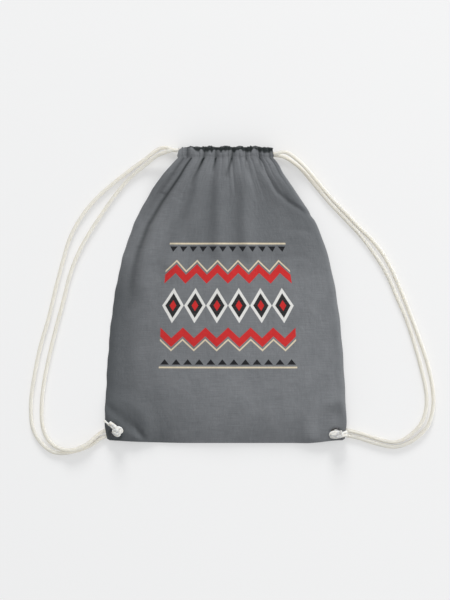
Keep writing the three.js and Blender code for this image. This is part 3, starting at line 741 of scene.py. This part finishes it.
def inside_height(x, y, layers):
    """Height just above the back panel's inside, plus so many layers of cloth."""
    return back_under(x, y) + CLOTH + PANEL_GAP + CLOTH * layers


def strip(name, points, node, side=0):
    """Flat piece of canvas inside the bag; one without a side is attached to the bag."""
    centre = face_centres(points)
    keep = clear_of_eyelet(centre) if "patch" in node else np.ones(centre.shape[:2], bool)
    piece = cloth_piece(name, points, points, np.zeros(points.shape[:2]), keep, 1, plain_canvas)
    if side:
        follow_hem(piece)
    else:
        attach(piece, "bag")
    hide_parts(node)


for side, word in SIDES:
    y = row_heights(SEAM_ROWS, SEAM_COLUMNS)[:-6]
    x, y = outline(np.full_like(y, float(side)), y)
    x = x - side * np.linspace(SEAM_WIDTH, SEAM_EDGE, SEAM_COLUMNS)[None, ::side]
    points = np.stack([x, y, inside_height(x, y, 0.9)], -1)
    strip(f"{word}_seam_allowance", points, f"{word}_side_seam", side)
    across = np.linspace(-PATCH_HALF, PATCH_HALF, 15)
    x, y = np.meshgrid(side * EYELET_X + across, EYELET_Y + across)
    points = np.stack([x, y, inside_height(x, y, 1.9)], -1)
    strip(f"{word}_corner_reinforcement", points, f"{word}_corner_patch")
u = np.linspace(-1, 1, BOTTOM_COLUMNS)[None, :].repeat(BOTTOM_ROWS, 0)
y = (BOTTOM + np.linspace(SEAM_EDGE, SEAM_WIDTH, BOTTOM_ROWS))[:, None].repeat(BOTTOM_COLUMNS, 1)
x, y = outline(u * 0.94, y)
strip("bottom_seam_allowance", np.stack([x, y, inside_height(x, y, 0.9)], -1), "bottom_seam")

# Draw cords: soft round cotton cord, 6 mm thick, braided from cream yarns. Each cord runs through both
# casings and turns back at the far end. Its two free strands lie beside the bag as a shoulder strap, down to
# a corner.
CORD = 6.0
CORD_CREAM = (0.745, 0.702, 0.612, 1.0)
CORD_SHADE = (0.705, 0.657, 0.56, 1.0)
YARN_PITCH = 5.5
CORD_STEP, CURVE_POINTS = 1.5, 24


def cotton_cord(name, cream, shade, nap, scatter):
    """Braided cotton; a nap below 1 evens its shading, as loose fibres do, and scatter is in metres."""
    f = Finish(name)
    along, around = f.split(f.attribute("flat", "Vector"))
    lay = f.math("MULTIPLY", along, 2 * math.pi / YARN_PITCH)
    turn = f.math("MULTIPLY", around, 2.0)
    one = f.math("SINE", f.math("ADD", lay, turn))
    other = f.math("SINE", f.math("SUBTRACT", lay, turn))
    braid = f.math("MAXIMUM", one, other)
    place = f.object_place()
    fuzz = f.noise(place, (900.0, 900.0, 900.0), 4.0, 0.7)
    soil = f.noise(place, (22.0, 22.0, 22.0), 4.0, 0.6)
    tone = f.math("ADD", f.weigh((braid, 0.16), (fuzz, 0.35)), f.math("MULTIPLY", soil, 0.5), True)
    f.give("Base Color", f.mix(tone, shade, cream))
    f.give("Roughness", f.weigh((fuzz, 0.2), base=0.78))
    f.give("Specular IOR Level", 0.1)
    f.give("Sheen Weight", 0.1)
    f.give("Subsurface Weight", 1.0)
    f.give("Subsurface Scale", 1.0)
    f.give("Subsurface Radius", (scatter, scatter * 0.95, scatter * 0.85))
    outward = f.tree.nodes.new("ShaderNodeNewGeometry").outputs["Normal"]
    low = f.bump(braid, 0.15, 0.0006, f.stretch(outward, (nap, nap, 1.0)))
    f.give("Normal", f.bump(fuzz, 0.1, 0.0004, low))
    return f.material


cord_cotton = cotton_cord("cream cotton cord", CORD_CREAM, CORD_SHADE, 0.35, 0.02)


def part_way(a, b, t, start, end):
    return a + (b - a) * (t - start) / (end - start)


def through(points, step):
    """Evenly spaced points on a smooth curve through the given ones."""
    p = np.array(points, float)
    p = np.concatenate([[2 * p[0] - p[1]], p, [2 * p[-1] - p[-2]]])
    out = []
    for k in range(1, len(p) - 2):
        a, b, c, d = p[k - 1], p[k], p[k + 1], p[k + 2]
        gaps = [max(np.linalg.norm(q - r), 1e-6) ** 0.5 for q, r in ((b, a), (c, b), (d, c))]
        marks = np.cumsum([0.0] + gaps)
        for t in np.linspace(marks[1], marks[2], CURVE_POINTS, endpoint=False):
            ab = part_way(a, b, t, marks[0], marks[1])
            bc = part_way(b, c, t, marks[1], marks[2])
            cd = part_way(c, d, t, marks[2], marks[3])
            abc = part_way(ab, bc, t, marks[0], marks[2])
            bcd = part_way(bc, cd, t, marks[1], marks[3])
            out.append(part_way(abc, bcd, t, marks[1], marks[2]))
    out = np.array(out + [p[-2]])
    run = np.concatenate([[0], np.cumsum(np.linalg.norm(np.diff(out, axis=0), axis=1))])
    even = np.linspace(0, run[-1], max(int(run[-1] / step), 4) + 1)
    return np.stack([np.interp(even, run, out[:, k]) for k in range(3)], -1)


def tube_rings(path, radius, sides):
    """Rings of points along a path, without twist, and their lengths along it."""
    tangent = unit(np.gradient(path, axis=0))
    up = np.array([0.0, 0.0, 1.0]) if abs(tangent[0, 2]) < 0.9 else np.array([0.0, 1.0, 0.0])
    normals = []
    for t in tangent:
        up = unit(up - t * np.dot(up, t))
        normals.append(up)
    normals = np.array(normals)
    sideways = np.cross(tangent, normals)
    angle = np.linspace(0, 2 * math.pi, sides, endpoint=False)
    ring = normals[:, None] * np.cos(angle)[None, :, None] + sideways[:, None] * np.sin(angle)[None, :, None]
    r = np.broadcast_to(np.asarray(radius, float), (len(path),))
    run = np.concatenate([[0], np.cumsum(np.linalg.norm(np.diff(path, axis=0), axis=1))])
    return path[:, None] + ring * r[:, None, None], run, angle


def cord_mesh(name, tubes, material, sides=14):
    """One mesh of cords: each tube is a path and its radius, closed at both ends."""
    coords, faces, flats = [], [], []
    for path, radius in tubes:
        rings, run, angle = tube_rings(path, radius, sides)
        base = len(coords)
        count = len(path)
        coords += rings.reshape(-1, 3).tolist()
        flats += [(s, a, 0.0) for s in run for a in angle]
        for j in range(count - 1):
            for i in range(sides):
                k = (i + 1) % sides
                a, b = base + j * sides, base + (j + 1) * sides
                faces.append((a + i, b + i, b + k, a + k))
        for ring, point, s, flip in ((0, path[0], run[0], False), (count - 1, path[-1], run[-1], True)):
            centre = len(coords)
            coords.append(point.tolist())
            flats.append((s, 0.0, 0.0))
            for i in range(sides):
                a, b = base + ring * sides + i, base + ring * sides + (i + 1) % sides
                faces.append((centre, b, a) if flip else (centre, a, b))
    mesh = smooth_mesh(name, coords, faces, material)
    keep_on_points(mesh, "flat", flats)
    return put_in_scene(name, mesh)


LIE = 3.25
# Routes of the strands from the hem to their corner; a point without a height lies on the floor.
strand_routes = {
    "left_strand_back": [
        (-72.6, 220.4, 5.4), (-78.6, 221, 5.4), (-85, 223.3, 5.2), (-92.4, 225, 4.8), (-100.6, 223.4, 4.2),
        (-109.4, 218, 3.7), (-122.4, 207.6), (-141.2, 194), (-175.8, 166.8), (-202, 142.2), (-222.6, 115.2),
        (-238, 85.6), (-247.6, 53.8), (-258, 14.8), (-270, -35.2), (-282, -76.3), (-290.8, -118.2),
        (-297, -165), (-294, -203), (-281, -226), (-265.5, -238.3), (-252, -241.4), (-237, -240),
        (-218, -234.8), (-204, -228.2), (-190, -218.6), (-172.6, -212.3),
    ],
    "left_strand_front": [
        (-72.6, 220.4, 20), (-78.6, 220.2, 20), (-88, 218, 18.6), (-104.6, 211.6, 13), (-123.2, 197.6, 6),
        (-146.9, 177.8), (-170.2, 150.2), (-190.6, 121), (-209.4, 92.2), (-224.4, 64.4), (-237.8, 29.7),
        (-247.2, -8.2), (-257.4, -45.4), (-267, -84.2), (-275.6, -125), (-280.5, -165), (-279.5, -197),
        (-273, -217), (-262, -229.5, 4.4), (-249, -235.2, 7.2), (-237, -236.4, 9.6), (-224, -233.2, 9.8),
        (-210, -226, 8.8), (-198, -216, 5.4), (-188, -208.6), (-180, -206), (-172.6, -205.7),
    ],
    "right_strand_front": [
        (72.6, 213.6, 20), (77.4, 214.4, 20), (85.4, 216.9, 19.6), (93.6, 216.2, 18), (115.2, 200.4, 12),
        (140.4, 172.6, 6), (162.6, 146.6), (183.4, 124.9), (203.4, 103.9), (221.8, 85.8), (238, 66),
        (252, 42), (265.6, 11.8), (280.4, -25.2), (295.6, -66.2), (309, -107), (316.5, -145), (317, -170),
        (309, -199), (293.5, -216.4), (277, -226.8), (259, -231.6), (242, -229.8), (222, -224.2),
        (200, -217.2), (172.6, -212.3),
    ],
    "right_strand_back": [
        (72.6, 213.6, 5.4), (77.6, 213.2, 5.4), (89.6, 210.6, 5), (110.8, 196.8), (135.4, 169.2),
        (157.6, 142.4), (184.2, 114.4), (208.2, 88.2), (229.4, 59.4), (247, 30), (261.4, -3), (275.6, -36),
        (288.4, -75), (299, -113), (306.5, -150), (306, -174), (299, -195), (286, -210.2), (273.5, -219.4),
        (259, -224.2), (244, -222.8), (224, -217), (203, -210.4), (182, -206), (172.6, -205.7),
    ],
}
for node, route in strand_routes.items():
    path = through([p if len(p) == 3 else (*p, LIE) for p in route], CORD_STEP)
    piece = cord_mesh(node.replace("strand", "cord_strand"), [(path, CORD / 2)], cord_cotton)
    side = -1 if node.startswith("left") else 1
    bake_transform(piece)
    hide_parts(node)

# Inside the casings each cord lies beside the other one: in along the front, round the far end, and back
# along the back. It is made as a far half and a near half.
LANE = {"left": 220.4, "right": 213.6}
TURN_X, TURN_RADIUS = 61.4, 7.3
RUN_END, HALF_WAY = 71.8, 30.0
for word, far in (("left", 1), ("right", -1)):
    y = LANE[word]
    middle_z = (FRONT_CASING_Z + BACK_CASING_Z) / 2
    turn = [
        (far * (TURN_X + TURN_RADIUS * math.sin(a)), y, middle_z + TURN_RADIUS * math.cos(a))
        for a in np.linspace(0, math.pi, 9)
    ]
    way_in = [(0, y, FRONT_CASING_Z), (far * HALF_WAY, y, FRONT_CASING_Z)]
    way_back = [(far * HALF_WAY, y, BACK_CASING_Z), (0, y, BACK_CASING_Z)]
    far_path = through(way_in + turn + way_back, CORD_STEP)
    near_paths = [
        through([(-far * RUN_END, y, z), (-far * RUN_END / 2, y, z), (0, y, z)], CORD_STEP)
        for z in (FRONT_CASING_Z, BACK_CASING_Z)
    ]
    nodes = [f"{word}_cord_{part}" for part in ("front_run", "turn", "back_run")]
    for label, paths, side in (("far", [far_path], far), ("near", near_paths, -far)):
        piece = cord_mesh(f"{word}_cord_{label}_run", [(path, CORD / 2) for path in paths], cord_cotton)
        follow_hem(piece)
        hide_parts(*nodes)

# Eyelets: pressed steel with a dull gunmetal plating, one through both layers at each lower corner.
# The rolled flange shows on the front, and a flat washer backs it underneath.
GUNMETAL = (0.09, 0.09, 0.095, 1.0)
RUBBED_METAL = (0.33, 0.32, 0.31, 1.0)
EYELET_SIDES = 48
EDGE_ROUND = 0.12


def plated_metal():
    f = Finish("gunmetal plating")
    place = f.object_place()
    worn = f.noise(place, (420.0, 420.0, 420.0), 4.0, 0.65)
    scratch = f.noise(place, (2600.0, 300.0, 900.0), 2.0, 0.6)
    rubbed = f.math("MULTIPLY", f.math("SUBTRACT", worn, 0.5), 3.0, True)
    f.give("Base Color", f.mix(rubbed, GUNMETAL, RUBBED_METAL))
    f.give("Metallic", 1.0)
    f.give("Roughness", f.weigh((scratch, 0.25), base=0.32))
    f.give("Normal", f.bump(scratch, 0.2, 0.0001))
    return f.material


gunmetal = plated_metal()


def turned_ring(name, profile, x, y):
    """Ring turned from a closed profile of (radius, height) points round an upright axis."""
    count = len(profile)
    angle = np.linspace(0, 2 * math.pi, EYELET_SIDES, endpoint=False)
    coords = [(x + r * math.cos(a), y + r * math.sin(a), z) for a in angle for r, z in profile]
    faces = []
    for j in range(EYELET_SIDES):
        k = (j + 1) % EYELET_SIDES
        for i in range(count):
            n = (i + 1) % count
            faces.append((j * count + i, k * count + i, k * count + n, j * count + n))
    piece = put_in_scene(name, smooth_mesh(name, coords, faces, gunmetal))
    bevel = piece.modifiers.new("rounded edges", "BEVEL")
    bevel.width = EDGE_ROUND * MM
    bevel.segments = 2
    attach(piece, "bag")
    return piece


BORE, BARREL, FLANGE = 4.7, 5.4, 8.0
WASHER_Z, FLANGE_Z = 6.7, 12.5
RIM_WIDTH, RIM_HEIGHT, LIP = 1.5, 0.9, 0.8
rolled_rim = [
    (FLANGE - RIM_WIDTH + RIM_WIDTH * math.cos(a), FLANGE_Z + 0.1 + RIM_HEIGHT * math.sin(a))
    for a in np.linspace(0, math.pi / 2, 7)
]
mouth_rim = [
    (BORE + LIP - LIP * math.sin(a), FLANGE_Z + 0.2 + LIP * math.cos(a))
    for a in np.linspace(0, math.pi / 2, 6)
]
barrel = [(BORE, WASHER_Z), (BARREL, WASHER_Z), (BARREL, FLANGE_Z), (FLANGE, FLANGE_Z)]
plate = [
    (BARREL + 0.3, WASHER_Z), (FLANGE - 0.3, WASHER_Z), (FLANGE, WASHER_Z + 0.3),
    (FLANGE, WASHER_Z + 0.8), (FLANGE - 0.2, WASHER_Z + 1.0), (BARREL + 0.3, WASHER_Z + 1.0),
]
for side, word in SIDES:
    ring = turned_ring(f"{word}_gunmetal_eyelet", barrel + rolled_rim + mouth_rim, side * EYELET_X, EYELET_Y)
    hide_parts(f"{word}_eyelet")
    washer = turned_ring(f"{word}_gunmetal_washer", plate, side * EYELET_X, EYELET_Y)
    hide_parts(f"{word}_eyelet_washer")

# Knots: both strands of a cord come up through their eyelet together and are tied in one tight overhand knot,
# which stops them from slipping back. Their cut ends stick out of it, a little frayed.
KNOT_Z = 20.8
PAIR, SQUEEZED, SWOLLEN = 1.9, 3.0, 3.8
LOOP_RADIUS, LOOP_WAVE, LOOP_RISE, LOOP_GAP = 3.2, 2.0, 3.0, 0.42
KNOT_STEP = 0.8
FOOT_Z, FRAY = 1.0, 0.14
# Painted light: the knots are tied in the same cord as the strands, but coloured paler, so that they read
# brighter.
KNOT_CREAM_PAINTED_LIGHTER = (0.86, 0.84, 0.79, 1.0)
KNOT_SHADE_PAINTED_LIGHTER = (0.79, 0.765, 0.71, 1.0)
knot_cotton = cotton_cord("cotton cord painted lighter in the knots", KNOT_CREAM_PAINTED_LIGHTER, KNOT_SHADE_PAINTED_LIGHTER, 0.25, 0.004)


def overhand_knot(word, side, centre, lean, beside, stretch, tails):
    """Doubled cord up through the eyelet, round through its own loop, and out as two ends.

    lean turns the loop, beside is the way in which the pair lies side by side, and stretch pulls the loop out
    of round. Each tail has its radius and its points, whose heights count from the knot's middle.
    """
    middle = np.array([*centre, KNOT_Z])
    turn = np.linspace(LOOP_GAP, 2 * math.pi - LOOP_GAP, 90)
    ring = LOOP_RADIUS + LOOP_WAVE * np.cos(3 * turn)
    x = ring * np.cos(2 * turn) * stretch[0]
    y = ring * np.sin(2 * turn) * stretch[1]
    z = LOOP_RISE * np.sin(3 * turn) * stretch[2]
    c, s = math.cos(lean), math.sin(lean)
    away = np.stack([x * c - y * s, x * s + y * c, z], -1)
    across = unit(np.cross(unit(np.gradient(away, axis=0)), unit(away)))
    tubes = []
    for shift, (thin, tail) in zip((-PAIR, PAIR), tails):
        tubes.append((through((middle + away + across * shift)[::3], KNOT_STEP), SQUEEZED))
        apart = shift * np.array([*beside, 0.0])
        foot = np.array([side * EYELET_X, EYELET_Y, FOOT_Z]) + 1.1 * apart
        neck = [foot, foot + (0, 0, 5), foot + (0, 0, 11), middle - (0, 0, 2) + 0.6 * apart]
        tubes.append((through(neck, KNOT_STEP), SQUEEZED))
        end = through([middle] + [(x, y, KNOT_Z + z) for x, y, z in tail], KNOT_STEP)
        step = np.arange(len(end))
        frayed = 1 + FRAY * smooth((step - len(end) + 5) / 4.0)
        tubes.append((end, thin * frayed + (SWOLLEN - thin) * smooth(1 - step / 11.0)))
    piece = cord_mesh(f"{word}_overhand_knot", tubes, knot_cotton, sides=16)
    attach(piece, f"knot_{word}")
    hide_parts(f"{word}_knot")


overhand_knot("left", -1, (-163, -207.5), -0.65, (0, 1), (1.3, 0.95, 0.95), [
    (2.7, [(-167.6, -199.8, 1.5), (-175.8, -194.4, -3.0)]),
    (1.5, [(-170, -202.4, 0.5), (-176, -197.8, -3.0), (-184.4, -191.0, -6.5)]),
])
overhand_knot("right", 1, (170.4, -211.7), 0.05, (1, 0), (2.6, 0.56, 0.45), [
    (2.5, [(176, -213.5, 0.5), (183.6, -211.9, -3.0)]),
    (2.3, [(176, -210.7, 0.0), (184.2, -208.0, -4.0)]),
])

# Floor, light and camera: the bag lies on a pale sheet of paper and is seen from straight above.
# A wide lamp far off on the right models the folds and casts no shadow. A lower one beyond the mouth casts
# the soft shadow below the bag.
FLOOR_PALE = (0.89, 0.885, 0.88, 1.0)
# The paper gives off a little light of its own to the camera, which keeps it pale and even.
PALE_GLOW, GLOW_SHARE = 0.94, 0.2
paper = Finish("pale paper")
paper.give("Base Color", FLOOR_PALE)
paper.give("Roughness", 0.9)
paper.give("Specular IOR Level", 0.1)
glow = paper.tree.nodes.new("ShaderNodeEmission")
glow.inputs["Color"].default_value = (PALE_GLOW, PALE_GLOW, PALE_GLOW, 1.0)
ray = paper.tree.nodes.new("ShaderNodeLightPath")
seen = paper.math("MAXIMUM", ray.outputs["Is Camera Ray"], ray.outputs["Is Glossy Ray"])
seen = paper.math("MAXIMUM", seen, ray.outputs["Is Transmission Ray"])
even = paper.tree.nodes.new("ShaderNodeMixShader")
paper.tree.links.new(paper.math("MULTIPLY", seen, GLOW_SHARE), even.inputs[0])
paper.tree.links.new(paper.shader.outputs[0], even.inputs[1])
paper.tree.links.new(glow.outputs[0], even.inputs[2])
paper.tree.links.new(even.outputs[0], paper.tree.nodes["Material Output"].inputs["Surface"])
floor_mesh = bpy.data.meshes.new("floor")
floor_mesh.from_pydata([(-3, -3, 0), (3, -3, 0), (3, 3, 0), (-3, 3, 0)], [], [(0, 1, 2, 3)])
floor_mesh.materials.append(paper.material)
floor = put_in_scene("floor", floor_mesh)


def soft_lamp(name, place, aim, size, watts, shadow):
    light = bpy.data.lights.new(name, "AREA")
    light.use_shadow = shadow
    light.shape = "DISK"
    light.size = size
    light.energy = watts
    lamp = put_in_scene(name, light)
    lamp.location = place
    way = np.array(aim, float) - np.array(place, float)
    flat = math.hypot(way[0], way[1])
    lamp.rotation_euler = (math.atan2(flat, -way[2]), 0.0, math.atan2(way[1], way[0]) - math.pi / 2)


soft_lamp("right_lamp", (12.56, 1.1, 5.62), (0, 0, 0), 6.0, 1280, False)
soft_lamp("top_lamp", (-0.6, 10.9, 5.0), (0, 0, 0), 4.5, 760, True)
ROOM_COLOUR, ROOM_LIGHT = (0.96, 0.98, 1.0, 1.0), 0.51
world = bpy.data.worlds.new("room")
world.use_nodes = True
world.node_tree.nodes["Background"].inputs["Color"].default_value = ROOM_COLOUR
world.node_tree.nodes["Background"].inputs["Strength"].default_value = ROOM_LIGHT
bpy.context.scene.world = world
CAMERA_PLACE, CAMERA_LENS = (-0.0008, -0.0076, 3.0), 117.8
camera = bpy.data.cameras.new("camera")
camera.lens = CAMERA_LENS
camera_object = put_in_scene("camera", camera)
camera_object.location = CAMERA_PLACE
bpy.context.scene.camera = camera_object
bpy.context.scene.view_settings.view_transform = "Standard"
